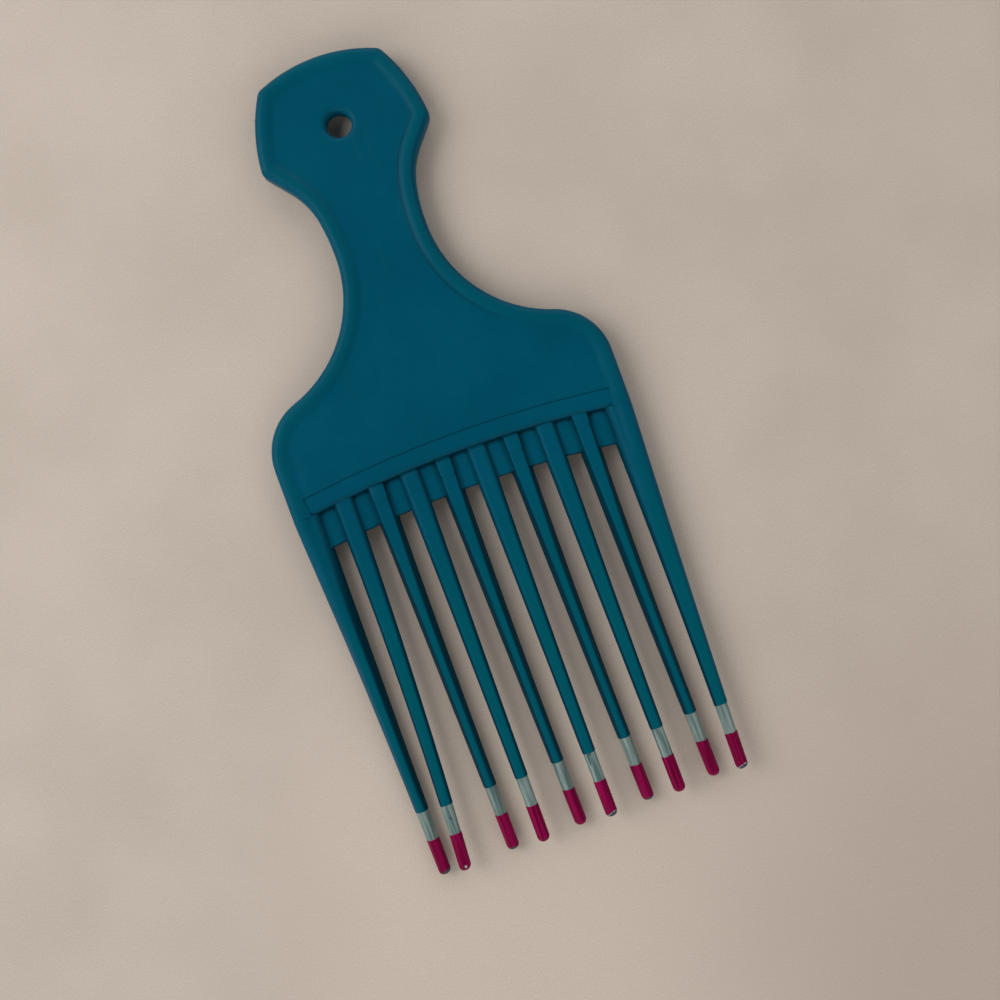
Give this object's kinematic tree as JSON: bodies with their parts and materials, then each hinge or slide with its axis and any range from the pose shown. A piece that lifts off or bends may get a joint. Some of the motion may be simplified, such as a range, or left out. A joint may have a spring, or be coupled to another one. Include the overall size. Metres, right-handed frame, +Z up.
{
  "type": "afro pick",
  "caption": "Flat moulded hair pick with a flared handle, a hanging hole, long staggered teeth and dipped paint tips.",
  "frame": {"origin": "under the middle of the pick's box, on the surface that it lies on", "axes": "+X across the teeth, +Y along the pick towards the head, +Z up through its thickness"},
  "size_m": [0.077, 0.175, 0.0056],
  "materials": {
    "teal_plastic": "semi-gloss moulded teal plastic, softly scuffed",
    "silver_paint": "pale silver dip coat, satin",
    "magenta_paint": "magenta dip coat, satin, worn at the tip"
  },
  "bodies": {
    "root": {"handle_plate": "teal_plastic", "tooth_01": "teal_plastic", "tooth_02": "teal_plastic", "tooth_03": "teal_plastic", "tooth_04": "teal_plastic", "tooth_05": "teal_plastic", "tooth_06": "teal_plastic", "tooth_07": "teal_plastic", "tooth_08": "teal_plastic", "tooth_09": "teal_plastic", "tooth_10": "teal_plastic", "silver_coat_01": "silver_paint", "silver_coat_02": "silver_paint", "silver_coat_03": "silver_paint", "silver_coat_04": "silver_paint", "silver_coat_05": "silver_paint", "silver_coat_06": "silver_paint", "silver_coat_07": "silver_paint", "silver_coat_08": "silver_paint", "silver_coat_09": "silver_paint", "silver_coat_10": "silver_paint", "magenta_coat_01": "magenta_paint", "magenta_coat_02": "magenta_paint", "magenta_coat_03": "magenta_paint", "magenta_coat_04": "magenta_paint", "magenta_coat_05": "magenta_paint", "magenta_coat_06": "magenta_paint", "magenta_coat_07": "magenta_paint", "magenta_coat_08": "magenta_paint", "magenta_coat_09": "magenta_paint", "magenta_coat_10": "magenta_paint"}
  },
  "joints": []
}
